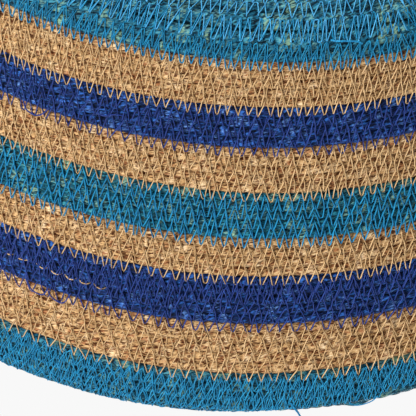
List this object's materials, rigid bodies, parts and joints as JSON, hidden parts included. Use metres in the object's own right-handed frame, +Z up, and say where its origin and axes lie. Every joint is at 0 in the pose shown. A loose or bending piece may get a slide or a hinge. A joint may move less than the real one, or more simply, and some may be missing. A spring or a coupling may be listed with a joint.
{
  "type": "seagrass basket",
  "caption": "Round open basket of coiled, machine-sewn seagrass cord in teal, natural tan and blue stripes, standing mouth up on a flat sewn base.",
  "frame": {"origin": "middle of the base's underside, on the surface the basket stands on", "axes": "+Z up through the open mouth; -Y is the side the picture shows, seen there from below the base"},
  "size_m": [0.378, 0.378, 0.2393],
  "materials": {
    "teal_cord": "matte",
    "tan_cord": "matte",
    "blue_cord": "matte",
    "teal_thread": "satin",
    "tan_thread": "satin",
    "blue_thread": "satin"
  },
  "bodies": {
    "root": {"base_centre": "teal_cord", "base_cord": "teal_cord", "tan_cord_1": "tan_cord", "blue_cord_1": "blue_cord", "tan_cord_2": "tan_cord", "teal_cord": "teal_cord", "tan_cord_3": "tan_cord", "blue_cord_2": "blue_cord", "tan_cord_4": "tan_cord", "rim_cord": "teal_cord"}
  },
  "joints": []
}
